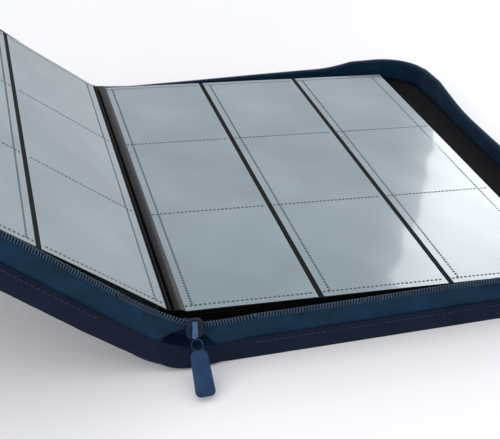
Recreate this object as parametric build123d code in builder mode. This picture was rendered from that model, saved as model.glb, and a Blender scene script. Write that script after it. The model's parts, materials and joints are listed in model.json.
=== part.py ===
from build123d import *
from math import cos, radians, sin, sqrt
import os

# Zip-round binder for trading cards, lying open: the back cover flat, the front cover raised.
# Origin at the middle of the back cover's outer face, +X to its fore edge, +Y to the head, +Z up.

# card pockets and the leaves that carry them
pocket_width = 69.3
pocket_height = 92.0
columns = 3
rows = 3
bar_width = 3.0            # bare backing between two columns of pockets
page_end_margin = 4.5      # bare backing beyond the pockets at head and foot
page_inner_margin = 3.0    # bare backing between the pockets and the binding
backing_thickness = 0.3
film_thickness = 0.3
pocket_depth = 0.15        # room for a card behind its film
film_lap = 1.0             # film beyond the pockets at head and foot
weld_width = 2.4           # film welded down round three sides of a pocket
back_leaves = 9
front_leaves = 5

# covers and spine
skin_thickness = 0.8
board_thickness = 2.4
lining_thickness = 0.8
corner_radius = 31.0
half_depth = 26.0          # from a cover's outer face to where the two coils meet
spine_tilt = 20.0          # spine above the table, open
cover_tilt = 40.0          # front cover above the table, open
spine_bulge = 6.0
hinge_radius = 1.6
hinge_gap = 0.4
cover_setback = 3.2        # cover edge from its hinge line

# zip
band_thickness = 1.2
band_height = 10.0
tape_thickness = 1.0
tape_lap = 5.0             # tape sewn behind the band
coil_width = 2.6
coil_height = 1.5
meeting_gap = 0.3          # half the space between the two coils
wall_start = 20.0          # zip wall from the hinge line, past the folded gusset
gusset_height = 19.0
gusset_inset = 8.0
gusset_thickness = 1.2

# fits
end_gap = 11.3             # leaf to zip wall at head and foot
fore_gap = 9.6             # leaf to zip wall at the fore edge, closed
lining_gap = 0.4
page_pivot_setback = 15.0  # leaves' hinge line inside the spine, from the cover's hinge line
binding_pivot = 13.2       # binding's pivot along the spine
binding_thickness = 1.4
binding_gap = 0.35
binding_clearance = 0.5     # bottom leaf's middle to the binding's lower edge
strip_thickness = 1.0
strip_start = 18.0
mid_gap = 2.15             # top leaf to the parting plane, closed
inner_lift = 1.15          # bottom leaf raised at its hinge line, clear of the cover's fold
outer_drop = 9.8           # top leaf lower at the fore edge, where the stack is pressed thin

# slider and pull
slider_width = 9.0
slider_height = 11.0
slider_depth = 4.0
slider_gap = 0.3
slider_place = (17.6, 17.4)   # along and in from the spine's chord
slider_taper = 80          # angle of the body's sides
slider_corner = 1.2
bridge_width = 3.2
bridge_rise = 1.4
bridge_inset = 1.5
bridge_chamfer = 0.6
ring_wire = 0.9
ring_width = 6.4
ring_length = 5.2
ring_gap = 0.3
tab_width = 9.6
tab_length = 22.0
tab_thickness = 1.8
tab_corner = 2.6
tab_lean = 50.0            # pull tab from hanging straight down, resting on the table

# worked out
cover_thickness = skin_thickness + board_thickness + lining_thickness
half_cover = cover_thickness / 2
wall_thickness = band_thickness + tape_thickness
page_width = page_inner_margin + columns * pocket_width + (columns - 1) * bar_width
page_height = rows * pocket_height + 2 * page_end_margin
leaf_thickness = backing_thickness + 2 * film_thickness
tilt = radians(spine_tilt)
binding_rise = binding_pivot * (1 - sin(tilt)) / cos(tilt)
binding_travel = binding_rise * (1 - sin(tilt)) + binding_pivot * cos(tilt)
cover_width = page_width - page_pivot_setback + binding_travel + fore_gap + wall_thickness
cover_height = page_height + 2 * (end_gap + wall_thickness)
spine_chord = 2 * half_depth - cover_thickness
hinge_x = -cover_width / 2
spine_length = cover_height - 2 * gusset_thickness
spine_start = hinge_radius + hinge_gap
bottom_leaf = half_cover + lining_gap + leaf_thickness / 2 + inner_lift
bottom_leaf_outer = half_cover + lining_gap + leaf_thickness / 2
top_leaf = half_depth - half_cover - mid_gap - leaf_thickness / 2
top_leaf_outer = top_leaf - outer_drop
coil_base = half_depth - half_cover - meeting_gap - coil_height

spine_dir = (-cos(tilt), 0, sin(tilt))
spine_in = (sin(tilt), 0, cos(tilt))
lift = radians(cover_tilt)
back_plane = Plane(origin=(hinge_x, 0, half_cover), x_dir=(1, 0, 0), z_dir=(0, 0, 1))
spine_plane = Plane(origin=back_plane.origin, x_dir=spine_dir, z_dir=spine_in)
front_hinge = spine_plane.from_local_coords((spine_chord, 0, 0))
front_plane = Plane(origin=front_hinge, x_dir=(-cos(lift), 0, sin(lift)), z_dir=(sin(lift), 0, cos(lift)))

os.makedirs("parts", exist_ok=True)


def save(builder, name):
    """Label one finished piece and write it."""
    builder.part.label = name
    export_step(builder.part, f"parts/{name}.step")


def section(plane, side):
    """Cross-section plane of a cover or the spine at one end: along it, then inwards."""
    return Plane(origin=plane.from_local_coords((0, side, 0)), x_dir=plane.x_dir, z_dir=-plane.y_dir)


def plate(plane, low, thickness, inset, name):
    """One layer of a cover: square at the spine, two round corners at the fore edge."""
    length = cover_width - cover_setback - inset
    with BuildPart() as layer:
        with BuildSketch(plane.offset(low)) as outline:
            with Locations((cover_setback + length / 2, 0)):
                Rectangle(length, cover_height - 2 * inset)
            fillet(outline.vertices().group_by(Axis.X)[-1], radius=corner_radius - inset)
        extrude(amount=thickness)
    save(layer, name)


def wall(plane, low, high, inset, thickness, name):
    """One upright band round head, fore edge and foot, open at the spine."""
    length = cover_width - inset
    with BuildPart() as band:
        with BuildSketch(plane.offset(low)) as ring:
            with Locations((length / 2, 0)):
                Rectangle(length, cover_height - 2 * inset)
            fillet(ring.vertices().group_by(Axis.X)[-1], radius=corner_radius - inset)
            offset(amount=-thickness, mode=Mode.SUBTRACT)
            with Locations((wall_start / 2, 0)):
                Rectangle(wall_start, cover_height, mode=Mode.SUBTRACT)
        extrude(amount=high - low)
    save(band, name)


def hinge_fold(plane, name):
    """Rolled leather at a cover's hinge line, with the web that joins it to the board."""
    with BuildPart() as fold:
        with BuildSketch(section(plane, spine_length / 2)):
            Circle(hinge_radius)
            with Locations((cover_setback / 2, 0)):
                Rectangle(cover_setback, hinge_radius)
        extrude(amount=spine_length)
    save(fold, name)


def cover(plane, side):
    """Every piece of one cover with its half of the zip."""
    inner = -half_cover + skin_thickness
    plate(plane, -half_cover, skin_thickness, band_thickness, f"{side}_cover_skin")
    plate(plane, inner, board_thickness, band_thickness, f"{side}_cover_board")
    plate(plane, inner + board_thickness, lining_thickness, band_thickness, f"{side}_cover_lining")
    wall(plane, -half_cover, band_height - half_cover, 0, band_thickness, f"{side}_edge_band")
    tape_low = max(band_height - half_cover - tape_lap, half_cover)
    wall(plane, tape_low, coil_base, band_thickness, tape_thickness, f"{side}_zip_tape")
    wall(plane, coil_base, coil_base + coil_height, 0.2, coil_width, f"{side}_zip_coil")
    hinge_fold(plane, f"{side}_hinge_fold")


def arched(low, high, start, name):
    """One layer of the spine, arched outwards between its two hinge lines."""
    end = spine_chord - start
    middle = spine_chord / 2
    arch_radius = ((middle - spine_start) ** 2 + spine_bulge ** 2) / (2 * spine_bulge)
    edge = spine_bulge - arch_radius + sqrt(arch_radius ** 2 - (middle - start) ** 2)
    with BuildPart() as layer:
        with BuildSketch(section(spine_plane, spine_length / 2)):
            with BuildLine():
                ThreePointArc((start, low - edge), (middle, low - spine_bulge), (end, low - edge))
                Line((end, low - edge), (end, high - edge))
                ThreePointArc((end, high - edge), (middle, high - spine_bulge), (start, high - edge))
                Line((start, high - edge), (start, low - edge))
            make_face()
        extrude(amount=spine_length)
    save(layer, name)


def gusset(end, name):
    """Stiff fold of tape that closes one end of the spine."""
    with BuildPart() as fold:
        with BuildSketch(section(spine_plane, end * spine_length / 2)):
            with BuildLine():
                ThreePointArc((spine_start, -half_cover), (spine_chord / 2, -half_cover - spine_bulge),
                              (spine_chord - spine_start, -half_cover))
                Polyline((spine_chord - spine_start, -half_cover),
                         (spine_chord - gusset_inset, gusset_height),
                         (gusset_inset, gusset_height), (spine_start, -half_cover))
            make_face()
        extrude(amount=-end * gusset_thickness)
    save(fold, name)


def spine():
    """The spine's layers, the strip its pages are sewn to, and the two end gussets."""
    inner = -half_cover + skin_thickness
    arched(-half_cover, inner, spine_start, "spine_skin")
    arched(inner, inner + board_thickness, spine_start, "spine_board")
    arched(inner + board_thickness, half_cover, spine_start, "spine_lining")
    arched(half_cover, half_cover + strip_thickness, strip_start, "spine_page_strip")
    gusset(1, "foot_gusset")
    gusset(-1, "head_gusset")


def binding(plane, name):
    """Sewn edge that a side's leaves turn on, its outer face rounded like a book's back."""
    low = bottom_leaf + binding_clearance
    high = top_leaf + leaf_thickness / 2
    face = -page_pivot_setback - binding_gap
    with BuildPart() as block:
        with BuildSketch(section(plane, page_height / 2)):
            with BuildLine():
                ThreePointArc((face, low), (face - binding_thickness, (low + high) / 2), (face, high))
                Line((face, high), (face, low))
            make_face()
        extrude(amount=page_height)
    save(block, name)


def leaf_plane(plane, share):
    """A leaf's plane from its hinge line; share is 0 next to the cover and 1 on top."""
    inner = bottom_leaf + share * (top_leaf - bottom_leaf)
    outer = bottom_leaf_outer + share * (top_leaf_outer - bottom_leaf_outer)
    drop = (inner - outer) / page_width
    origin = plane.from_local_coords((-page_pivot_setback, 0, inner))
    x_dir = plane.x_dir - plane.z_dir * drop
    z_dir = plane.z_dir + plane.x_dir * drop
    return Plane(origin=origin, x_dir=x_dir, z_dir=z_dir)


def pockets(plane, name):
    """Film pockets on both faces of a leaf, each open at its spine side so that cards go in sideways."""
    pitch = pocket_width + bar_width
    first = page_inner_margin + pocket_width / 2
    middle = first + (columns - 1) * pitch / 2
    half_backing = backing_thickness / 2
    with BuildPart() as films:
        for sense in (1, -1):
            with BuildSketch(plane.offset(sense * half_backing)):
                with Locations((middle, 0)):
                    with GridLocations(pitch, pocket_height, columns, 1):
                        Rectangle(pocket_width, rows * pocket_height + 2 * film_lap)
            extrude(amount=sense * film_thickness)
            with BuildSketch(plane.offset(sense * half_backing)):
                with Locations((middle - weld_width / 2, 0)):
                    with GridLocations(pitch, pocket_height, columns, rows):
                        Rectangle(pocket_width - weld_width, pocket_height - weld_width)
            extrude(amount=sense * pocket_depth, mode=Mode.SUBTRACT)
    save(films, name)


def leaves(plane, side, count):
    """A side's leaves, numbered from its cover upwards."""
    for number in range(count):
        sheet_plane = leaf_plane(plane, number / (count - 1))
        with BuildPart() as sheet:
            with BuildSketch(sheet_plane.offset(-backing_thickness / 2)):
                with Locations((page_width / 2, 0)):
                    Rectangle(page_width, page_height)
            extrude(amount=backing_thickness)
        save(sheet, f"{side}_page_{number + 1:02d}")
        pockets(sheet_plane, f"{side}_page_{number + 1:02d}_pockets")


def pull():
    """Slider on the foot gusset, with its bridge, wire ring and flat pull tab."""
    place = spine_plane.from_local_coords((slider_place[0], 0, slider_place[1]))
    face = -cover_height / 2 - slider_gap
    front = face - slider_depth
    slider_plane = Plane(origin=(place.X, face, place.Z), x_dir=(1, 0, 0), z_dir=(0, -1, 0))
    with BuildPart() as body:
        with BuildSketch(slider_plane):
            Trapezoid(slider_width, slider_height, slider_taper)
        extrude(amount=slider_depth - bridge_rise)
        fillet(body.edges().filter_by(Axis.Y), radius=slider_corner)
    save(body, "zip_slider")
    with BuildPart() as bridge:
        with BuildSketch(slider_plane.offset(slider_depth - bridge_rise)):
            Rectangle(bridge_width, slider_height - bridge_inset)
        extrude(amount=bridge_rise)
        chamfer(bridge.faces().sort_by(Axis.Y)[0].edges(), length=bridge_chamfer)
    save(bridge, "slider_bridge")

    pivot = (place.X, front - ring_wire - ring_gap, place.Z - slider_height / 2 + bridge_inset)
    lean = radians(tab_lean)
    pull_plane = Plane(origin=pivot, x_dir=(1, 0, 0), z_dir=(0, cos(lean), -sin(lean)))
    with BuildPart() as ring:
        with BuildSketch(pull_plane.offset(-ring_wire / 2)):
            with Locations((0, ring_length / 2)):
                Rectangle(ring_width, ring_length + ring_wire)
                Rectangle(ring_width - 2 * ring_wire, ring_length - ring_wire, mode=Mode.SUBTRACT)
        extrude(amount=ring_wire)
    save(ring, "pull_ring")
    with BuildPart() as tab:
        with BuildSketch(pull_plane.offset(-tab_thickness / 2)) as outline:
            with Locations((0, ring_length + ring_wire / 2 + tab_length / 2)):
                Rectangle(tab_width, tab_length)
            fillet(outline.vertices(), radius=tab_corner)
        extrude(amount=tab_thickness)
    save(tab, "pull_tab")


cover(back_plane, "back")
cover(front_plane, "front")
spine()
binding(back_plane, "back_page_binding")
binding(front_plane, "front_page_binding")
leaves(back_plane, "back", back_leaves)
leaves(front_plane, "front", front_leaves)
pull()
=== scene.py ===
import json
import math

import bpy
from mathutils import Matrix, Vector


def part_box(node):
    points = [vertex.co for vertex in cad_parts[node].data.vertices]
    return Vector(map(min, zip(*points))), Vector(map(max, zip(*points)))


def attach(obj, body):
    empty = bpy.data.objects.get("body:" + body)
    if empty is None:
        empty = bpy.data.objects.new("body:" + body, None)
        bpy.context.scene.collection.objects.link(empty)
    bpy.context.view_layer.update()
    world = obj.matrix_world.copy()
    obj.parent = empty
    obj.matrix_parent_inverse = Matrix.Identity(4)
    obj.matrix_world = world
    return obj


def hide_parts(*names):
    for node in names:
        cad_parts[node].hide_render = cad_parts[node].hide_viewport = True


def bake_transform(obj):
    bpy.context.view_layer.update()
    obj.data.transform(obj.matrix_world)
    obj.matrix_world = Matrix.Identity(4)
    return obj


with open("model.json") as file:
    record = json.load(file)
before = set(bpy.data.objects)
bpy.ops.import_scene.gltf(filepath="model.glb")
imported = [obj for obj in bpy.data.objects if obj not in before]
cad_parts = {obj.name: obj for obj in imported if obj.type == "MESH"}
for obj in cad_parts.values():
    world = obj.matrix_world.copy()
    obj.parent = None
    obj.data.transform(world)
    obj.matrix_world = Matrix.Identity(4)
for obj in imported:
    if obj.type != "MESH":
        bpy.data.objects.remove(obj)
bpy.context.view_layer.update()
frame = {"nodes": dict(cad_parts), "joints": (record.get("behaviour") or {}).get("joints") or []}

# Zip-round binder for trading cards, lying open. Lengths are in metres; MM turns millimetres into them.
MM = 0.001
NODES = frame["nodes"]
JOINTS = {joint["name"]: joint for joint in frame["joints"]}

# ---------------------------------------------------------------- sizes, from the frame
BACK_HINGE = Vector(JOINTS["spine_hinge"]["pos_m"])
FRONT_HINGE = Vector(JOINTS["front_cover_hinge"]["pos_m"])
FRONT_TILT = math.radians(40)
HALVES = {
    "back": {"hinge": BACK_HINGE, "out": Vector((1, 0, 0)), "inward": Vector((0, 0, 1))},
    "front": {"hinge": FRONT_HINGE,
              "out": Vector((-math.cos(FRONT_TILT), 0, math.sin(FRONT_TILT))),
              "inward": Vector((math.sin(FRONT_TILT), 0, math.cos(FRONT_TILT)))},
}
SPINE_ALONG = (FRONT_HINGE - BACK_HINGE).normalized()
SPINE_IN = Vector((SPINE_ALONG.z, 0, -SPINE_ALONG.x))
SPINE_MIDDLE = (FRONT_HINGE - BACK_HINGE).length / 2
BAND_LOW, BAND_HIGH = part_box("back_edge_band")
SLIDER_LOW, SLIDER_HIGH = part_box("zip_slider")
BRIDGE_LOW, BRIDGE_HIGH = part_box("slider_bridge")
RING_LOW, RING_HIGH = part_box("pull_ring")
TAB_LOW, TAB_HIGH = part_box("pull_tab")
HALF_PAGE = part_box("back_page_01")[1].y

# ---------------------------------------------------------------- covers and walls
COVER_REACH = BAND_HIGH.x - BACK_HINGE.x                          # hinge line to fore edge
HALF_HEIGHT = BAND_HIGH.y
OUTER_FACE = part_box("back_cover_skin")[0].z - BACK_HINGE.z        # outer face, inwards from the hinge line
WALL_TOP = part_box("back_zip_coil")[1].z - BACK_HINGE.z
WALL_START = BAND_LOW.x - BACK_HINGE.x
CORNER = 31 * MM
WALL_RUN = COVER_REACH - CORNER - WALL_START                      # straight part at foot and at head
WALL_TURN = CORNER * math.pi / 2
WALL_FORE = 2 * (HALF_HEIGHT - CORNER)
WALL_LENGTH = 2 * WALL_RUN + 2 * WALL_TURN + WALL_FORE
WALL_COLUMNS = 150
WALL_LEAN = 1.4 * MM              # how far the wall leans in at its top
RIPPLE = 0.3 * MM                 # its waves there, and the length of tape that one radian of them takes
RIPPLE_LENGTH = 23 * MM

HEAD_SLACK = 8.5 * MM             # how far the open zip sags at mid head
FORE_SLACK = 9 * MM               # at mid fore edge
CORNER_SLACK = 4.5 * MM           # and at the head's corner
HEAD_SAG_SPAN = (0.92 * COVER_REACH, 0.66 * COVER_REACH)          # where the head's sag starts and is full
FORE_SAG_SPAN = (0.87 * HALF_HEIGHT, 0.27 * HALF_HEIGHT)          # the same for the fore edge's

BAND_TOP = 0.40                   # part of the wall that the edge webbing covers
RIM_TOP = 0.45                    # and its folded rim
TAPE_SPAN = (0.3, 0.96)           # part that the woven tape spans, from under the webbing
COIL_HEIGHT = 0.95
COIL_OUT = 0.7 * MM
COIL_PITCH = 1.5 * MM
COIL_RADIUS = 0.85 * MM
COIL_OVAL = 1.3                   # the coil's height to its width
COIL_WIRE = 0.5 * MM
CORE_RADIUS = 1.05 * MM
STITCH = (2.1 * MM, 0.45 * MM, 0.4 * MM)
STITCH_BEVEL = 0.12 * MM
STITCH_PITCH = 3.1 * MM
STITCH_ROWS = ((0.36, 0.5 * MM), (0.92, -0.4 * MM))               # height on the wall, and how far out

# ---------------------------------------------------------------- folds of slack over the spine's ends
FOLD_COLUMNS = 56
MEET_ALONG = 17.6 * MM            # where the two tapes meet at the foot, along the spine
MEET_IN = 18.6 * MM
MEET_TABLE = -13 * MM             # where the folds' lower edges meet on the table, from the back hinge line
TABLE_LIFT = 0.3 * MM
LOW_GAP = 1.5 * MM                # half of what is left between the two folds, on the table
HIGH_GAP = 0.8 * MM               # and at the coils
KINK = -24 * MM                   # where the front fold turns up from the table
LOW_PULL = 3.0                    # how hard a lower edge keeps to its corner; the upper one is at 1
COIL_TURN = 4 * MM                # where the coil turns down, out from the hinge line
COIL_DIP = 0.8 * MM               # how far it sags there
HOLLOW_DEPTH = 10 * MM            # how far the tape tucks in behind the slider
HOLLOW_REACH = 0.42               # part of a fold's length that its tuck takes up
HOLLOW_NARROW = (0.45, 0.12)      # heights over which the tuck narrows, and the part of its reach that stays
HOLLOW_LOW = (0.36, 0.42)         # heights where it starts and is full
HOLLOW_HIGH = (0.9, 0.8)          # heights where it ends and is still full
HOLLOW_STEEP = 2.2
BASE_BULGE = 3 * MM               # how far the folds stand out along the table
BASE_TURN = 1.8 * MM              # how far their lower edges turn in under the spine
BASE_ROUND = 0.06                 # part of their height that turns in
BLEND_START = 0.9 * WALL_START    # two places out from the hinge line, where each fold's loop computes points that it does not use
BLEND_END = -8 * MM

# ---------------------------------------------------------------- pages
COLUMNS = 3
ROWS = 3
FILM_WIDTH = 69.3 * MM
ROW_PITCH = 92 * MM
BAR_WIDTH = 3 * MM
INNER_MARGIN = 3 * MM
FILM_OVERLAP = 4 * MM             # film beyond the end welds of a top leaf
LOWER_OVERLAP = 1 * MM            # and of the leaves under it
SIDE_WELD = 4.5 * MM              # closed side of a pocket, from its strip's inner edge
OUTER_WELD = 8 * MM               # last weld of a leaf, from its outer film edge
INNER_LAP = {"back": 0.0, "front": 1.2 * MM}                      # film carried over the inner margin
STRIP_GRID = (16, 54)
FILM_WALL = 0.1 * MM
BACKING_HALF = 0.15 * MM          # half of the backing sheet, which the film starts from
FILM_LOW = 0.18 * MM              # film over the backing at its welds, and how far it rises between them
FILM_RISE = 0.16 * MM
CREASE_RISE = 0.13 * MM           # creases and the slower swell, on top of that
SWELL_RISE = 0.08 * MM
CREASES = ((7.3, 2.0, 1.7), (3.0, 16.1, 2.3))                     # radians across, along, and for each strip
SWELL = (3.1, 5.2, 1.0)
UNDER_SEED = 2.5                  # shifts the creases of a leaf's under face
DASH = (1.3 * MM, 1.1 * MM, 0.2 * MM)
DASH_BEVEL = 0.06 * MM
DASH_PITCH = 2.4 * MM
ROW_DASH_START = 0.6              # middle of a row's first dash, in pitches from the film's edge
DASH_LIFT = 0.4 * MM
GUTTER_START = {"back": 3.2 * MM, "front": 0.3 * MM}              # where each margin leaves its leaf
GUTTER_SWELL = {"back": 4.2 * MM, "front": 0.8 * MM}              # how far it swells before it dips
GUTTER_LIFT = 0.5 * MM
SHOULDER = -3.5 * MM              # where it swells most, out from the leaf's hinge line
GUTTER_DEPTH = 8.5 * MM           # where the two margins go down, in from the spine's chord
GUTTER_HALF = 1.1 * MM
GUTTER_WAVE = 0.3 * MM
GUTTER_WAVES = 9.0                # radians of it from foot to head
GUTTER_WALL = 0.5 * MM
GUTTER_GRID = (60, 16)
GUTTER_WIDTH_MM = 20              # its width for the weave

# ---------------------------------------------------------------- slider and pull
CHEEKS = (                        # part of the slider's box, shift in its depth, corner radius, softened rim
    ("slider_body", (1.0, 0.55, 1.0), -0.2, 3.0 * MM, 0.5 * MM),
    ("slider_back", (0.86, 0.35, 0.94), 0.3, 2.6 * MM, 0.3 * MM),
)
ARCH_STEPS = 16
ARCH_WIRE = 0.85 * MM
ARCH_FLAT = 1.7                   # the arch's width to its thickness
ARCH_SINK = 0.2 * MM              # its feet, into the slider
ARCH_INSET = 0.9 * MM             # its crown, behind the front of the bridge's box
ARCH_SQUARE = 0.45                # how square its shoulders are: 1 is a sine, less is squarer
LOOP_STEPS = 24
LOOP_WIRE = 0.36 * MM
LOOP_INSET = 0.45 * MM            # the loop's wire, in from the ring's box
LOOP_LENGTH = 5.4 * MM
LOOP_SQUARE = (0.7, 0.8)          # how square it is across and down: 1 is an ellipse
TAB_START = 5.2 * MM              # down from the pull's hinge line
TAB_LENGTH = 22.4 * MM
TAB_WALL = 1.7 * MM
TAB_CORNER = 2.6 * MM
TAB_RIM = 0.6 * MM
TAB_NECK = 5 * MM                 # length over which the tab narrows to the loop, and by what part
TAB_NARROW = 0.24

# ---------------------------------------------------------------- camera and lights, in metres
CAMERA_PLACE = (-0.2036, -0.5332, 0.3118)
CAMERA_HEADING = math.radians(15.42)
CAMERA_DROP = math.radians(30.65)
CAMERA_ROLL = math.radians(0.9)
CAMERA_LENS = 71.7
CAMERA_SENSOR = 36
FLOOR_SIZE = 12
SOFTBOXES = (                     # place, what it is aimed at, width and height, watts
    ("key_light", (-0.9, -0.4, 2.0), (0, 0, 0), (3.4, 3.4), 17),
    ("fill_light", (-1.3, -1.5, 0.8), (-0.15, 0, 0.05), (2.4, 1.2), 12),
    ("window_light", (1.47, 1.68, 1.00), (0.1, 0.0, 0.0), (0.82, 1.05), 10),
)


def at(half, x, y, z):
    """Point in the row frame: x out from a cover's hinge line, y to the head, z inwards."""
    return half["hinge"] + half["out"] * x + Vector((0, y, 0)) + half["inward"] * z


def on_spine(along, y, inwards):
    """Point in the row frame, along the spine's chord from the back cover's hinge line."""
    return BACK_HINGE + SPINE_ALONG * along + SPINE_IN * inwards + Vector((0, y, 0))


def clamp(value, low=0.0, high=1.0):
    return min(high, max(low, value))


def ramp(value, start, end):
    """0 at start, 1 at end, straight between them and level beyond."""
    return clamp((value - start) / (end - start))


def quad_curve(start, middle, end, share, pull=1.0):
    """Point on a curve from start to end that bends towards middle; pull draws it closer to middle."""
    first, second, third = (1 - share) ** 2, 2 * pull * share * (1 - share), share ** 2
    return (start * first + middle * second + end * third) / (first + second + third)


# ---------------------------------------------------------------- materials
WEAR_PER_METRE = 30.0             # patches of wear on leatherette, about 33 mm across
CLOUD_PER_METRE = 60.0            # uneven dye in woven tape
HAZE_PER_METRE = 12.0             # slow changes in the film's haze
MARKS_PER_METRE = 140.0           # handling marks on hard parts
RIBS_PER_MM = 1.1                 # weave pressed into the film; the real one is finer and wouldn't show


def linear(code):
    """Linear colour of an sRGB hex value."""
    parts = [int(code[i:i + 2], 16) / 255 for i in (0, 2, 4)]
    return [c / 12.92 if c <= 0.04045 else ((c + 0.055) / 1.055) ** 2.4 for c in parts] + [1]


def add(tree, kind, settings=None, links=None):
    """Add one shader node with its settings and its links."""
    made = tree.nodes.new(kind)
    for name, value in (settings or {}).items():
        if isinstance(name, int) or name in made.inputs:
            made.inputs[name].default_value = value
        else:
            setattr(made, name, value)
    for name, source in (links or {}).items():
        tree.links.new(source, made.inputs[name])
    return made


def start_material(name, shader_settings):
    """New material with one Principled shader, and its tree."""
    material = bpy.data.materials.new(name)
    material.use_nodes = True
    tree = material.node_tree
    tree.nodes.clear()
    shader = add(tree, "ShaderNodeBsdfPrincipled", shader_settings)
    add(tree, "ShaderNodeOutputMaterial", links={"Surface": shader.outputs[0]})
    return material, tree, shader


def lay_pattern(tree, shader, colour, relief, strength, depth_mm, stops=(0.3, 0.7)):
    """Colour a surface by a pattern, dark to light between two stops, and raise it by another pattern."""
    source, *codes = colour
    blend = add(tree, "ShaderNodeValToRGB", links={"Fac": source})
    for stop, place, code in zip(blend.color_ramp.elements, stops, codes):
        stop.position = place
        stop.color = linear(code)
    raised = add(tree, "ShaderNodeBump", {"Strength": strength, "Distance": depth_mm * MM},
                 {"Height": relief})
    tree.links.new(blend.outputs[0], shader.inputs["Base Color"])
    tree.links.new(raised.outputs[0], shader.inputs["Normal"])


def crossed_threads(tree, place, per_unit):
    """Waves across times waves along, -1 to 1: one thread to each half wave."""
    apart = add(tree, "ShaderNodeSeparateXYZ", links={"Vector": place})
    waves = []
    for axis in ("X", "Y"):
        turn = add(tree, "ShaderNodeMath", {"operation": "MULTIPLY", 1: math.pi * per_unit},
                   {0: apart.outputs[axis]})
        waves.append(add(tree, "ShaderNodeMath", {"operation": "SINE"}, {0: turn.outputs[0]}).outputs[0])
    return add(tree, "ShaderNodeMath", {"operation": "MULTIPLY"}, {0: waves[0], 1: waves[1]}).outputs[0]


def leather(name, dark, light, grain_mm, roughness, coat=0.12, shine=0.5):
    """Coated leatherette, embossed: soft sheen broken by a pebble grain."""
    material, tree, shader = start_material(name, {"Roughness": roughness, "IOR": 1.5, "Coat Weight": coat,
                                                   "Coat Roughness": 0.35, "Specular IOR Level": shine})
    place = add(tree, "ShaderNodeTexCoord").outputs["Object"]
    grain = add(tree, "ShaderNodeTexVoronoi", {"Scale": 1 / (grain_mm * MM), "feature": "DISTANCE_TO_EDGE"},
                {"Vector": place})
    wear = add(tree, "ShaderNodeTexNoise", {"Scale": WEAR_PER_METRE, "Detail": 5.0}, {"Vector": place})
    lay_pattern(tree, shader, (wear.outputs[0], dark, light), grain.outputs["Distance"], 0.7, 0.3)
    return material


def woven(name, dark, light, thread_mm, roughness, uv=True):
    """Plain weave of polyester yarn: two sets of threads, painted lighter where they cross over and darker
    between them, as painted highlight and painted shade on the weave's relief.

    The yarn is about 0.3 mm thick, too fine to show, so thread_mm draws it coarser.
    """
    material, tree, shader = start_material(name, {"Roughness": roughness, "Sheen Weight": 0.04,
                                                   "Sheen Roughness": 0.4, "Specular IOR Level": 0.15})
    place = add(tree, "ShaderNodeTexCoord").outputs["UV" if uv else "Object"]
    unit = 1.0 if uv else MM                    # a millimetre, in the pattern's own coordinates
    cross = crossed_threads(tree, place, 1 / (thread_mm * unit))
    lifted = add(tree, "ShaderNodeMath", {"operation": "MULTIPLY_ADD", 1: 0.5, 2: 0.5}, {0: cross})
    cloud = add(tree, "ShaderNodeTexNoise", {"Scale": CLOUD_PER_METRE * MM / unit, "Detail": 4.0},
                {"Vector": place})
    # The thread rise colours the cloth as well as raising it: painted highlight on the raised threads,
    # painted shade in the pits; the cloud is the dye's own uneven tone.
    mixed = add(tree, "ShaderNodeMath", {"operation": "MULTIPLY_ADD", 1: 0.4},
                {0: lifted.outputs[0], 2: cloud.outputs[0]})
    lay_pattern(tree, shader, (mixed.outputs[0], dark, light), lifted.outputs[0], 0.5, 0.2, (0.35, 1.0))
    return material


def pocket_film(name, dark, light):
    """Clear PVC film laid on black backing: a blue-grey haze, very smooth, with a fine embossed weave whose
    ridges are painted lighter and hollows darker as painted shade.
    """
    material, tree, shader = start_material(name, {"Roughness": 0.2, "IOR": 1.52, "Coat Weight": 0.7,
                                                   "Coat Roughness": 0.06})
    place = add(tree, "ShaderNodeTexCoord").outputs["UV"]
    turned = add(tree, "ShaderNodeMapping", {"Rotation": (0, 0, math.radians(45))}, {"Vector": place})
    cross = crossed_threads(tree, turned.outputs[0], RIBS_PER_MM)
    haze = add(tree, "ShaderNodeTexNoise", {"Scale": HAZE_PER_METRE * MM, "Detail": 2.0}, {"Vector": place})
    # The embossed ribs tint the colour as well as the relief: painted highlight on the ridges, painted shade
    # in the hollows; the haze noise is the film's own uneven tone.
    mixed = add(tree, "ShaderNodeMath", {"operation": "MULTIPLY_ADD", 1: 0.12},
                {0: cross, 2: haze.outputs[0]})
    lay_pattern(tree, shader, (mixed.outputs[0], dark, light), cross, 0.12, 0.05, (0.25, 0.75))
    return material


def moulded(name, dark, light, roughness, metallic=0.0, coat=0.0, grit_mm=0.6, shine=0.5):
    """Moulded or coated hard part: even colour with a fine grit and small handling marks."""
    material, tree, shader = start_material(name, {"Roughness": roughness, "Metallic": metallic,
                                                   "Coat Weight": coat, "Coat Roughness": 0.15,
                                                   "Specular IOR Level": shine})
    place = add(tree, "ShaderNodeTexCoord").outputs["Object"]
    grit = add(tree, "ShaderNodeTexNoise", {"Scale": 1 / (grit_mm * MM), "Detail": 2.0}, {"Vector": place})
    marks = add(tree, "ShaderNodeTexNoise", {"Scale": MARKS_PER_METRE, "Detail": 5.0}, {"Vector": place})
    lay_pattern(tree, shader, (marks.outputs[0], dark, light), grit.outputs[0], 0.18, 0.08)
    return material


# Leatherette over board: deep navy with a broad soft sheen.
LEATHER = leather("navy_leatherette", "141f38", "1d2c4c", 1.5, 0.5)
# The same coating in black on the rolled margin: a dark pipe with one faint grey light along it.
MARGIN = leather("black_embossed_margin", "030305", "07080a", 1.5, 0.36, coat=0.0, shine=0.22)
# Backing sheet of the leaves: flat black that shows as bars between the films.
BACKING = leather("black_backing_sheet", "060707", "0e0f10", 0.9, 0.75, coat=0.0, shine=0.15)
# Lining cloth: dull black, with hardly a highlight.
LINING = woven("black_lining_cloth", "060607", "121316", 0.9, 0.85, uv=False)
# Zip tape: teal navy, lighter than the webbing under it.
TAPE = woven("teal_navy_zip_tape", "03121f", "0c3450", 0.8, 0.7)
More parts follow.
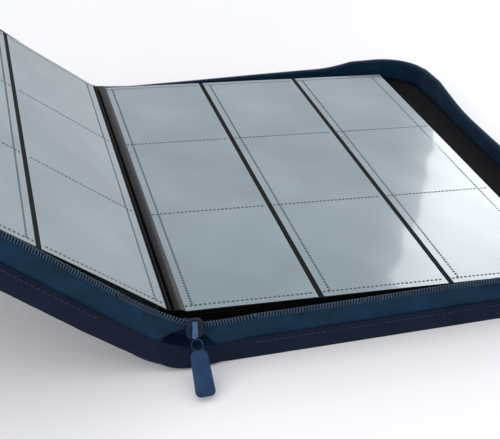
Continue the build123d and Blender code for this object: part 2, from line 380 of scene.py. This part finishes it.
# Edge webbing: the darkest navy, dull.
BAND = woven("navy_edge_webbing", "040a18", "0d1c34", 0.8, 0.75)
# Nylon coil: smooth, each turn with a small glint over the cord inside it; the cord is painted darker and
# duller than the coil, as painted shade between the turns.
COIL = moulded("navy_coil_nylon", "0a2136", "173a52", 0.4)
# The cord's darker colour is painted shade inside the coil.
CORE = moulded("coil_core_painted_shade", "030c18", "071526", 0.9, shine=0.1)
# Sewing thread: a shade lighter than the cloth it holds.
THREAD = moulded("navy_thread", "0d1830", "182846", 0.7)
# Pocket film: pale grey-blue haze over the black, with soft reflections.
FILM = pocket_film("pocket_film", "70828a", "92a3a9")
# Welded film: pressed clear, so that the black shows through as dark dashes.
WELD = moulded("welded_film", "2b3439", "414c52", 0.5)
# Grey board: matt grey-brown paper fibre, between the skin and the lining.
BOARD = moulded("grey_board", "5c564d", "6f675c", 0.9)
# Enamelled zinc: dark navy cheeks, and a bridge in the same enamel painted paler blue, a painted highlight
# where it catches the light.
SLIDER = moulded("blue_enamelled_zinc", "06101f", "0d2240", 0.45, shine=0.2)
BRIDGE = moulded("enamel_painted_highlight", "2a4a6e", "557aa0", 0.3, metallic=0.6, coat=0.4)
# Lacquered steel wire: thin and dark, with a narrow glint.
WIRE = moulded("dark_steel_wire", "10203a", "223c60", 0.35, metallic=0.7)
# Soft-touch coating: mid blue, even and matt.
TAB = moulded("soft_touch_blue", "172c49", "223f62", 0.6, grit_mm=0.4, shine=0.2)

# Woven layers of a wall: heights that each spans, how far its rims stand out, how much more its middle does,
# its width in mm for the weave, its finish and its slot.
LAYERS = {
    "webbing": {"span": (0.0, BAND_TOP), "out": -0.3 * MM, "swell": 0.55 * MM, "width_mm": 10,
                "material": BAND, "slot": "edge_webbing"},
    "rim": {"span": (BAND_TOP, RIM_TOP), "out": -0.45 * MM, "swell": 0.5 * MM, "width_mm": 2,
            "material": BAND, "slot": "edge_webbing"},
    "tape": {"span": TAPE_SPAN, "out": -1.0 * MM, "swell": -0.45 * MM, "width_mm": 17,
             "material": TAPE, "slot": "zip_tape"},
}


# ---------------------------------------------------------------- modelling helpers
SHEET_CREASE = math.radians(40)   # edges sharper than this stay sharp on a sheet, and take a block's rim
BLOCK_CREASE = math.radians(35)


def deselect():
    bpy.ops.object.select_all(action="DESELECT")


def only(piece):
    """Make a piece the one that operators act on."""
    deselect()
    piece.select_set(True)
    bpy.context.view_layer.objects.active = piece


def settle(piece):
    """Put a finished piece's place into its mesh."""
    only(piece)
    bpy.ops.object.transform_apply(location=True, rotation=True, scale=True)


def finish_with(piece, kind, **settings):
    """Add a modifier and apply it."""
    modifier = piece.modifiers.new(kind.lower(), kind)
    for name, value in settings.items():
        setattr(modifier, name, value)
    only(piece)
    bpy.ops.object.modifier_apply(modifier=modifier.name)


def ribbon(name, columns, rows, place, size_mm, material):
    """Sheet from a primitive grid; place(u, v) gives each corner, and its UV map is in millimetres."""
    deselect()
    bpy.ops.mesh.primitive_grid_add(x_subdivisions=columns, y_subdivisions=rows, size=1, calc_uvs=True)
    piece = bpy.context.object
    piece.name = name
    for corner in piece.data.uv_layers.active.data:
        corner.uv = (corner.uv[0] * size_mm[0], corner.uv[1] * size_mm[1])
    for vertex in piece.data.vertices:
        vertex.co = place(vertex.co.x + 0.5, vertex.co.y + 0.5)
    piece.data.materials.append(material)
    return piece


def thicken(piece, thickness, offset=0.0):
    """Give a sheet its thickness and smooth shading."""
    finish_with(piece, "SOLIDIFY", thickness=thickness, offset=offset)
    only(piece)
    bpy.ops.object.mode_set(mode="EDIT")
    bpy.ops.mesh.select_all(action="SELECT")
    bpy.ops.mesh.normals_make_consistent(inside=False)
    bpy.ops.object.mode_set(mode="OBJECT")
    bpy.ops.object.shade_smooth_by_angle(angle=SHEET_CREASE)


def wire(name, points, radius, material, closed=False, sides=2):
    """Round wire through points, as a mesh."""
    curve = bpy.data.curves.new(name, "CURVE")
    curve.dimensions = "3D"
    curve.bevel_depth = radius
    curve.bevel_resolution = sides
    curve.use_fill_caps = True
    spline = curve.splines.new("POLY")
    spline.points.add(len(points) - 1)
    for slot, point in zip(spline.points, points):
        slot.co = (*point, 1)
    spline.use_cyclic_u = closed
    piece = bpy.data.objects.new(name, curve)
    bpy.context.collection.objects.link(piece)
    only(piece)
    bpy.ops.object.convert(target="MESH")
    piece = bpy.context.object
    piece.data.materials.clear()
    piece.data.materials.append(material)
    bpy.ops.object.shade_smooth()
    return piece


def copies(name, template, places, material):
    """One mesh of a small part repeated at every place; each place is a matrix."""
    corners, faces = [], []
    base = [vertex.co.copy() for vertex in template.data.vertices]
    shape = [tuple(face.vertices) for face in template.data.polygons]
    for place in places:
        first = len(corners)
        corners += [tuple(place @ corner) for corner in base]
        faces += [tuple(first + index for index in face) for face in shape]
    mesh = bpy.data.meshes.new(name)
    mesh.from_pydata(corners, [], faces)
    piece = bpy.data.objects.new(name, mesh)
    bpy.context.collection.objects.link(piece)
    mesh.materials.append(material)
    return piece


def axes_matrix(place, x, y, z):
    """Matrix of a place and three directions."""
    return Matrix.Translation(place) @ Matrix((x, y, z)).transposed().to_4x4()


def stitch_matrix(place, along, up):
    """Matrix that stands a small part at a place, its X along and its Z up."""
    x = along.normalized()
    z = (up - x * up.dot(x)).normalized()
    return axes_matrix(place, x, z.cross(x), z)


def small_block(size, bevel):
    """Bevelled block that stitches and welds are copied from."""
    deselect()
    bpy.ops.mesh.primitive_cube_add(size=1)
    block = bpy.context.object
    block.scale = size
    settle(block)
    finish_with(block, "BEVEL", width=bevel, segments=1)
    return block


def remove(piece):
    bpy.data.objects.remove(piece, do_unlink=True)


# ---------------------------------------------------------------- zip walls
def corner_point(end, angle):
    """Point and outward direction on a cover's rounded corner; end is -1 at the foot."""
    out_x, out_y = math.cos(angle), math.sin(angle)
    return COVER_REACH - CORNER + CORNER * out_x, end * (HALF_HEIGHT - CORNER) + CORNER * out_y, out_x, out_y


def wall_path(share):
    """Point and outward direction on a cover's outline, from the foot's spine end round to the head's."""
    travel = share * WALL_LENGTH
    if travel < WALL_RUN:
        return WALL_START + travel, -HALF_HEIGHT, 0.0, -1.0
    travel -= WALL_RUN
    if travel < WALL_TURN:
        return corner_point(-1, travel / CORNER - math.pi / 2)
    travel -= WALL_TURN
    if travel < WALL_FORE:
        return COVER_REACH, -HALF_HEIGHT + CORNER + travel, 1.0, 0.0
    travel -= WALL_FORE
    if travel < WALL_TURN:
        return corner_point(1, travel / CORNER)
    travel -= WALL_TURN
    return COVER_REACH - CORNER - min(travel, WALL_RUN), HALF_HEIGHT, 0.0, 1.0


def slack(x, y):
    """How far the open tape sags: nothing at the foot, most at mid head and mid fore edge."""
    head = ramp(y, HALF_HEIGHT - CORNER, HALF_HEIGHT)
    fore = ramp(x, COVER_REACH - CORNER, COVER_REACH)
    head_sag = HEAD_SLACK * head * math.sin(ramp(x, *HEAD_SAG_SPAN) * math.pi / 2) ** 2
    fore_sag = FORE_SLACK * fore * math.sin(ramp(abs(y), *FORE_SAG_SPAN) * math.pi / 2) ** 2
    return max(head_sag, fore_sag, CORNER_SLACK * min(1.0, head + fore * max(0.0, y / HALF_HEIGHT)))


def wall_point(half, share, height, out):
    """Point on the wall: height is 0 at the cover's outer face and 1 at the coil, out is from its outline."""
    x, y, out_x, out_y = wall_path(share)
    ripple = RIPPLE * math.sin(share * WALL_LENGTH / RIPPLE_LENGTH) * height ** 2
    reach = ripple + out - WALL_LEAN * height ** 3
    return at(half, x + out_x * reach, y + out_y * reach,
              OUTER_FACE + (WALL_TOP - slack(x, y) - OUTER_FACE) * height)


def outward(half, share):
    """Direction out of the wall."""
    out_x, out_y = wall_path(share)[2:]
    return half["out"] * out_x + Vector((0, out_y, 0))


def woven_layer(name, layer, grid, place, length_mm, thickness, fade=0.0):
    """One woven layer of a wall or a fold; place(share, height, out) gives its points.

    Its swell is level all along with fade 0, and runs out to nothing at its far end with fade 1.
    """
    low, high = layer["span"]

    def corner(u, v):
        swell = layer["swell"] * math.sin(v * math.pi) * (1 - fade * u)
        return place(u, low + (high - low) * v, layer["out"] + swell)

    piece = ribbon(name, *grid, corner, (length_mm, layer["width_mm"]), layer["material"])
    thicken(piece, thickness)
    return piece


def coil_points(path, turns, per_turn=8):
    """Helix wound round a path; path(share) gives its point, inward and sideways directions."""
    points = []
    for step in range(turns * per_turn + 1):
        place, inward, sideways = path(step / (turns * per_turn))
        angle = 2 * math.pi * step / per_turn
        points.append(place + inward * COIL_RADIUS * COIL_OVAL * math.sin(angle)
                      + sideways * COIL_RADIUS * math.cos(angle))
    return points


def zip_coil(name, path, length):
    """Coil along a path, and the cord inside it."""
    turns = int(length / COIL_PITCH)
    coil = wire(name, coil_points(path, turns), COIL_WIRE, COIL, sides=1)
    core = wire(f"{name}_core", [path(step / turns)[0] for step in range(turns + 1)], CORE_RADIUS, CORE)
    return coil, core


def zip_wall(side):
    """Edge webbing, woven tape, coil and two rows of stitches of one cover."""
    half = HALVES[side]

    def place(share, height, out):
        return wall_point(half, share, height, out)

    def along(share):
        return wall_point(half, share, COIL_HEIGHT, COIL_OUT), half["inward"], outward(half, share)

    pieces = []
    for name, layer, rows, thickness, node in (("edge_webbing", "webbing", 8, 0.9 * MM, "edge_band"),
                                               ("woven_tape", "tape", 12, 0.7 * MM, "zip_tape"),
                                               ("tape_fold", "rim", 4, 0.6 * MM, None)):
        piece = woven_layer(f"{side}_{name}", LAYERS[layer], (WALL_COLUMNS, rows), place,
                            WALL_LENGTH / MM, thickness)
        if node:
            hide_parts(f"{side}_{node}")
        pieces.append(piece)
    coil, core = zip_coil(f"{side}_coil", along, WALL_LENGTH)
    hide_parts(f"{side}_zip_coil")

    stitch = small_block(STITCH, STITCH_BEVEL)
    places = []
    count = int(WALL_LENGTH / STITCH_PITCH)
    for height, out in STITCH_ROWS:
        for number in range(count):
            share = (number + 0.5) / count
            here = wall_point(half, share, height, out)
            ahead = wall_point(half, min(share + 0.5 / count, 1), height, out)
            places.append(stitch_matrix(here, ahead - here, outward(half, share)))
    stitches = copies(f"{side}_wall_stitches", stitch, places, THREAD)
    remove(stitch)
    for piece in (*pieces, coil, core, stitches):
        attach(piece, f"{side}_cover")


# ---------------------------------------------------------------- folds of slack over the spine's ends
def tuck(share, height):
    """How deep a fold's hollow is, 0 to 1: it narrows towards the coil and has a soft rim."""
    narrow, least = HOLLOW_NARROW
    reach = HOLLOW_REACH * clamp((HOLLOW_HIGH[0] - height) / narrow, least)
    inside = clamp(HOLLOW_STEEP * (1 - (1 - share) / reach))
    return inside * ramp(height, *HOLLOW_LOW) * ramp(height, *HOLLOW_HIGH)


def base_bulge(share, height):
    """How far a fold stands out: most just over the table, with its lower edge turned in."""
    rounded = min(1.0, height / BASE_ROUND) ** 0.5
    bulge = BASE_BULGE * max(0.0, 1 - height) ** 1.5 * rounded - BASE_TURN * (1 - rounded)
    return bulge * share ** 2 * (3 - 2 * share)


def tape_fold(side, end):
    """Slack tape from a cover's wall to where the two tapes meet on the spine; end is -1 at the foot."""
    half = HALVES[side]
    at_foot = end < 0
    name = f"{side}_{'foot' if at_foot else 'head'}_fold"
    y = end * HALF_HEIGHT
    sag = 0.0 if at_foot else HEAD_SLACK
    start_share = 0.0 if at_foot else 1.0
    meet = MEET_ALONG if at_foot else SPINE_MIDDLE
    toward = 1 if side == "front" else -1
    low = OUTER_FACE + TABLE_LIFT
    end_low = BACK_HINGE + Vector((MEET_TABLE + toward * LOW_GAP, y, low))
    end_high = on_spine(meet - toward * HIGH_GAP, y, MEET_IN - sag)
    middle_low = BACK_HINGE + Vector((KINK if side == "front" else 0, y, low))
    middle_high = at(half, COIL_TURN, y, WALL_TOP - COIL_DIP - sag)

    def place(share, height, out, hollow=0.0):
        start = wall_point(half, start_share, height, out)
        middle = middle_low.lerp(middle_high, height)
        pull = LOW_PULL + (1 - LOW_PULL) * height
        point = quad_curve(start, middle, end_low.lerp(end_high, height), share, pull)
        lean = (out - WALL_LEAN * height ** 3) * share
        stand = lean + base_bulge(share, height) - hollow * tuck(share, height)
        point.y = point.y * (1 - share) + y * share + end * stand
        return point

    def tucked(share, height, out):
        return place(share, height, out, HOLLOW_DEPTH)

    def along(share):
        return place(share, COIL_HEIGHT, COIL_OUT), half["inward"], Vector((0, end, 0))

    length_mm = (end_low - wall_point(half, start_share, 0, 0)).length / MM
    pieces = []
    for layer, rows, route, thickness, fade in (("webbing", 8, place, 0.8 * MM, 0),
                                                ("rim", 4, place, 0.6 * MM, 0),
                                                ("tape", 24, tucked, 0.7 * MM, 1)):
        pieces.append(woven_layer(f"{name}_{layer}", LAYERS[layer], (FOLD_COLUMNS, rows), route,
                                  length_mm, thickness, fade))
    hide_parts("foot_gusset" if at_foot else "head_gusset")
    start_high = wall_point(half, start_share, 1, 0)
    pieces += zip_coil(f"{name}_coil", along, (end_high - start_high).length)
    for piece in pieces:
        at(half, BLEND_START, y, 0)
        at(half, BLEND_END, y, 0)
        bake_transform(piece)


# ---------------------------------------------------------------- pages
def leaf_count(side):
    return sum(1 for node in NODES if node.startswith(f"{side}_page_") and node.endswith("_pockets"))


def leaf_frame(side, number):
    """Matrix of one leaf: X from its hinge line to its outer edge, Z towards the open side."""
    pivot = Vector(JOINTS[f"{side}_page_{number:02d}_turn"]["pos_m"])
    corners = [vertex.co for vertex in NODES[f"{side}_page_{number:02d}"].data.vertices]
    flat = [(Vector((corner.x, 0, corner.z)) - pivot).length for corner in corners]
    reach = max(flat)
    outer = [corner for corner, far in zip(corners, flat) if far > reach - 1 * MM]
    middle = sum(outer, Vector()) / len(outer)
    along = (Vector((middle.x, 0, middle.z)) - pivot).normalized()
    up = Vector((-along.z, 0, along.x)) if side == "back" else Vector((along.z, 0, -along.x))
    return axes_matrix(pivot, along, up.cross(along), up)


def wave(x, y, seed, across, along, shift):
    return math.sin(across * x + along * y + shift * seed)


def film_height(x, y, seed, overlap):
    """Film over a strip, 0 to 1 each way: low at its welds, gently uneven between them."""
    row = ((y - 0.5) * (ROWS * ROW_PITCH + 2 * overlap) / ROW_PITCH + ROWS / 2) % 1
    across = ramp(x, SIDE_WELD / FILM_WIDTH, 1)
    pocket = math.sin(math.pi * across) ** 0.5 * math.sin(math.pi * row) ** 0.5
    creases = wave(x, y, seed, *CREASES[0]) * wave(x, y, seed, *CREASES[1])
    return FILM_LOW + (FILM_RISE + CREASE_RISE * creases + SWELL_RISE * wave(x, y, seed, *SWELL)) * pocket


def strip_start(column):
    """Where a film strip starts, out from its leaf's hinge line."""
    return INNER_MARGIN + column * (FILM_WIDTH + BAR_WIDTH)


def film_strip(column, face, lap, overlap):
    """One film strip on a leaf's upper or under face."""
    height = ROWS * ROW_PITCH + 2 * overlap
    inner = strip_start(column) - (lap if column == 0 else 0)
    width = strip_start(column) + FILM_WIDTH - inner
    seed = column + (UNDER_SEED if face < 0 else 0)

    def corner(u, v):
        lift = BACKING_HALF + film_height(u, v, seed, overlap)
        return Vector((inner + u * width, (v - 0.5) * height, face * lift))

    strip = ribbon(f"strip_{column}_{face}", *STRIP_GRID, corner, (width / MM, height / MM), FILM)
    thicken(strip, FILM_WALL, offset=-1.0)
    return strip


def weld_places():
    """Places of every weld dash on both faces of a leaf: across the rows, then along the closed sides."""
    places = []
    for column in range(COLUMNS):
        start = strip_start(column)
        side_lines = [start + SIDE_WELD]
        if column == COLUMNS - 1:
            side_lines.append(start + FILM_WIDTH - OUTER_WELD)
        for lift in (DASH_LIFT, -DASH_LIFT):
            for row in range(ROWS + 1):
                y = (row - ROWS / 2) * ROW_PITCH
                for number in range(int(FILM_WIDTH / DASH_PITCH)):
                    x = start + (number + ROW_DASH_START) * DASH_PITCH
                    places.append(Matrix.Translation((x, y, lift)))
            for x in side_lines:
                for number in range(int(ROWS * ROW_PITCH / DASH_PITCH)):
                    y = -ROWS / 2 * ROW_PITCH + (number + 0.5) * DASH_PITCH
                    places.append(Matrix.Translation((x, y, lift)) @ Matrix.Rotation(math.pi / 2, 4, "Z"))
    return places


def page_films(lap, overlap):
    """Six film strips and their welds for one leaf; lap and overlap are film past its inner and end welds."""
    strips = [film_strip(column, face, lap, overlap) for column in range(COLUMNS) for face in (1, -1)]
    only(strips[0])
    for strip in strips:
        strip.select_set(True)
    bpy.ops.object.join()
    films = bpy.context.object
    dash = small_block(DASH, DASH_BEVEL)
    welds = copies("page_welds", dash, weld_places(), WELD)
    remove(dash)
    return films, welds


def pages():
    """Film and welds on every leaf: one modelled set for a side's lower leaves and one for its top leaf."""
    for side, lap in INNER_LAP.items():
        top = leaf_count(side)
        for leaves, overlap in ((range(1, top), LOWER_OVERLAP), (range(top, top + 1), FILM_OVERLAP)):
            films, welds = page_films(lap, overlap)
            for number in leaves:
                name = f"{side}_page_{number:02d}"
                place = leaf_frame(side, number)
                for source, ending in ((films, "film"), (welds, "welds")):
                    piece = source.copy()
                    piece.data = source.data.copy()
                    piece.name = f"{name}_{ending}"
                    bpy.context.collection.objects.link(piece)
                    piece.data.transform(place)
                    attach(piece, name)
                    if ending == "film":
                        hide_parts(f"{name}_pockets")
            remove(films)
            remove(welds)


def gutter_margin(side):
    """Flexible inner margin of a side's top leaf: it swells and then curves down into the gutter."""
    sense = 1 if side == "back" else -1
    count = leaf_count(side)
    top = leaf_frame(side, count)
    edge = top @ Vector((GUTTER_START[side], 0, GUTTER_LIFT))
    shoulder = top @ Vector((SHOULDER, 0, GUTTER_SWELL[side]))
    gutter = on_spine(SPINE_MIDDLE - sense * GUTTER_HALF, 0, GUTTER_DEPTH)

    def place(u, v):
        point = quad_curve(edge, shoulder, gutter, v)
        dip = GUTTER_WAVE * math.sin(u * GUTTER_WAVES + 1.0) * math.sin(v * math.pi)
        return Vector((point.x, (u - 0.5) * 2 * HALF_PAGE, point.z + dip))

    margin = ribbon(f"{side}_gutter_margin", *GUTTER_GRID, place, (2 * HALF_PAGE / MM, GUTTER_WIDTH_MM),
                    MARGIN if side == "back" else BACKING)
    thicken(margin, GUTTER_WALL)
    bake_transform(margin)


# ---------------------------------------------------------------- slider and pull
def rounded_block(name, size, place, corner, rim, material, segments=5):
    """Block with its edges along Y rounded and then its rims softened."""
    deselect()
    bpy.ops.mesh.primitive_cube_add(size=1, location=place)
    piece = bpy.context.object
    piece.name = name
    piece.scale = size
    settle(piece)
    bpy.ops.object.mode_set(mode="EDIT")
    bpy.ops.mesh.select_mode(type="EDGE")
    bpy.ops.mesh.select_all(action="DESELECT")
    bpy.ops.object.mode_set(mode="OBJECT")
    for edge in piece.data.edges:
        first, second = (piece.data.vertices[index].co for index in edge.vertices)
        edge.select = abs((first - second).normalized().y) > 0.9
    bpy.ops.object.mode_set(mode="EDIT")
    bpy.ops.mesh.bevel(offset=corner, segments=segments, affect="EDGES")
    bpy.ops.object.mode_set(mode="OBJECT")
    finish_with(piece, "BEVEL", width=rim, segments=3, limit_method="ANGLE", angle_limit=SHEET_CREASE)
    piece.data.materials.append(material)
    only(piece)
    bpy.ops.object.shade_smooth_by_angle(angle=BLOCK_CREASE)
    return piece


def slider():
    """The slider's two cheeks, and the bridge that arches over its front."""
    middle = (SLIDER_LOW + SLIDER_HIGH) / 2
    size = SLIDER_HIGH - SLIDER_LOW
    body, back = (rounded_block(name, [whole * part for whole, part in zip(size, parts)],
                                middle + Vector((0, size.y * shift, 0)), corner, rim, SLIDER)
                  for name, parts, shift, corner, rim in CHEEKS)
    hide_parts("zip_slider")
    points = []
    for step in range(ARCH_STEPS + 1):
        share = step / ARCH_STEPS
        rise = math.sin(math.pi * share) ** ARCH_SQUARE
        points.append((middle.x,
                       BRIDGE_HIGH.y + ARCH_SINK + (BRIDGE_LOW.y + ARCH_INSET - BRIDGE_HIGH.y) * rise,
                       BRIDGE_HIGH.z - (BRIDGE_HIGH.z - BRIDGE_LOW.z) * share))
    bridge = wire("slider_arch", points, ARCH_WIRE, BRIDGE, sides=3)
    bridge.data.transform(Matrix.Translation((middle.x, 0, 0)) @ Matrix.Diagonal((ARCH_FLAT, 1, 1, 1))
                          @ Matrix.Translation((-middle.x, 0, 0)))
    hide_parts("slider_bridge")
    for piece in (body, back, bridge):
        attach(piece, "zip_slider")


def pull():
    """Wire loop and soft-touch tab that hang from the slider's bridge."""
    pivot = Vector(JOINTS["pull_tab_hinge"]["pos_m"])
    down = (TAB_LOW + TAB_HIGH) / 2 - pivot
    down.x = 0
    down.normalize()
    sideways = Vector((1, 0, 0))
    stand = axes_matrix(pivot, sideways, sideways.cross(down), down)
    loop_half = (RING_HIGH.x - RING_LOW.x) / 2 - LOOP_INSET
    points = []
    for step in range(LOOP_STEPS):
        angle = 2 * math.pi * step / LOOP_STEPS
        wide, tall = (math.copysign(abs(part) ** square, part)
                      for part, square in zip((math.cos(angle), math.sin(angle)), LOOP_SQUARE))
        points.append(stand @ Vector((loop_half * wide, 0, LOOP_LENGTH * (0.5 + 0.5 * tall))))
    loop = wire("pull_loop", points, LOOP_WIRE, WIRE, closed=True, sides=3)
    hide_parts("pull_ring")
    tab = rounded_block("pull_tab_grip", (TAB_HIGH.x - TAB_LOW.x, TAB_WALL, TAB_LENGTH),
                        (0, 0, TAB_START + TAB_LENGTH / 2), TAB_CORNER, TAB_RIM, TAB, segments=8)
    for vertex in tab.data.vertices:
        neck = max(0.0, 1 - (vertex.co.z - TAB_START) / TAB_NECK)
        vertex.co.x *= 1 - TAB_NARROW * neck
    tab.data.transform(stand)
    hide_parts("pull_tab")
    for piece in (loop, tab):
        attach(piece, "pull_tab")


# ---------------------------------------------------------------- carried-over CAD nodes
def finish_nodes():
    """Materials for the CAD nodes that keep showing; the first part of a name that fits gives the finish."""
    finishes = (("_cover_skin", LEATHER), ("spine_skin", LEATHER), ("_hinge_fold", LEATHER),
                ("_cover_board", BOARD), ("spine_board", BOARD), ("_cover_lining", LINING),
                ("spine_lining", LINING), ("spine_page_strip", MARGIN), ("_page_binding", MARGIN),
                ("_gusset", BAND), ("_page_", BACKING))
    for name, piece in NODES.items():
        for part, material in finishes:
            if part in name:
                piece.data.materials.clear()
                piece.data.materials.append(material)
                break


# ---------------------------------------------------------------- stage
def softbox(name, place, aim, size, watts):
    """Rectangular studio light aimed at a point."""
    lamp = bpy.data.lights.new(name, "AREA")
    lamp.shape = "RECTANGLE"
    lamp.size, lamp.size_y = size
    lamp.energy = watts
    holder = bpy.data.objects.new(name, lamp)
    bpy.context.collection.objects.link(holder)
    holder.location = place
    holder.rotation_euler = (Vector(aim) - Vector(place)).to_track_quat("-Z", "Y").to_euler()


def stage():
    """Pale table, even surrounding light and three softboxes."""
    deselect()
    bpy.ops.mesh.primitive_plane_add(size=FLOOR_SIZE)
    floor = bpy.context.object
    floor.name = "floor"
    table = start_material("pale_table", {"Roughness": 0.5, "Base Color": linear("fbfbfb")})[0]
    floor.data.materials.append(table)
    world = bpy.data.worlds.new("studio")
    world.use_nodes = True
    bpy.context.scene.world = world
    backdrop = world.node_tree.nodes["Background"]
    backdrop.inputs["Color"].default_value = linear("dcdde3")
    backdrop.inputs["Strength"].default_value = 1.0
    for settings in SOFTBOXES:
        softbox(*settings)


def camera():
    """Camera at a heading from +Y, dropped below the horizon and rolled a little."""
    ahead = Vector((math.sin(CAMERA_HEADING) * math.cos(CAMERA_DROP),
                    math.cos(CAMERA_HEADING) * math.cos(CAMERA_DROP), -math.sin(CAMERA_DROP)))
    level = Vector((math.cos(CAMERA_HEADING), -math.sin(CAMERA_HEADING), 0))
    right = level * math.cos(CAMERA_ROLL) + level.cross(ahead) * math.sin(CAMERA_ROLL)
    lens = bpy.data.cameras.new("camera")
    lens.lens = CAMERA_LENS
    lens.sensor_width = CAMERA_SENSOR
    holder = bpy.data.objects.new("camera", lens)
    bpy.context.collection.objects.link(holder)
    holder.matrix_world = axes_matrix(CAMERA_PLACE, right, right.cross(ahead), -ahead)
    bpy.context.scene.camera = holder


camera()
for cover_side in ("back", "front"):
    zip_wall(cover_side)
    for spine_end in (-1, 1):
        tape_fold(cover_side, spine_end)
    gutter_margin(cover_side)
pages()
slider()
pull()
finish_nodes()
stage()
bpy.context.scene.view_settings.view_transform = "Standard"
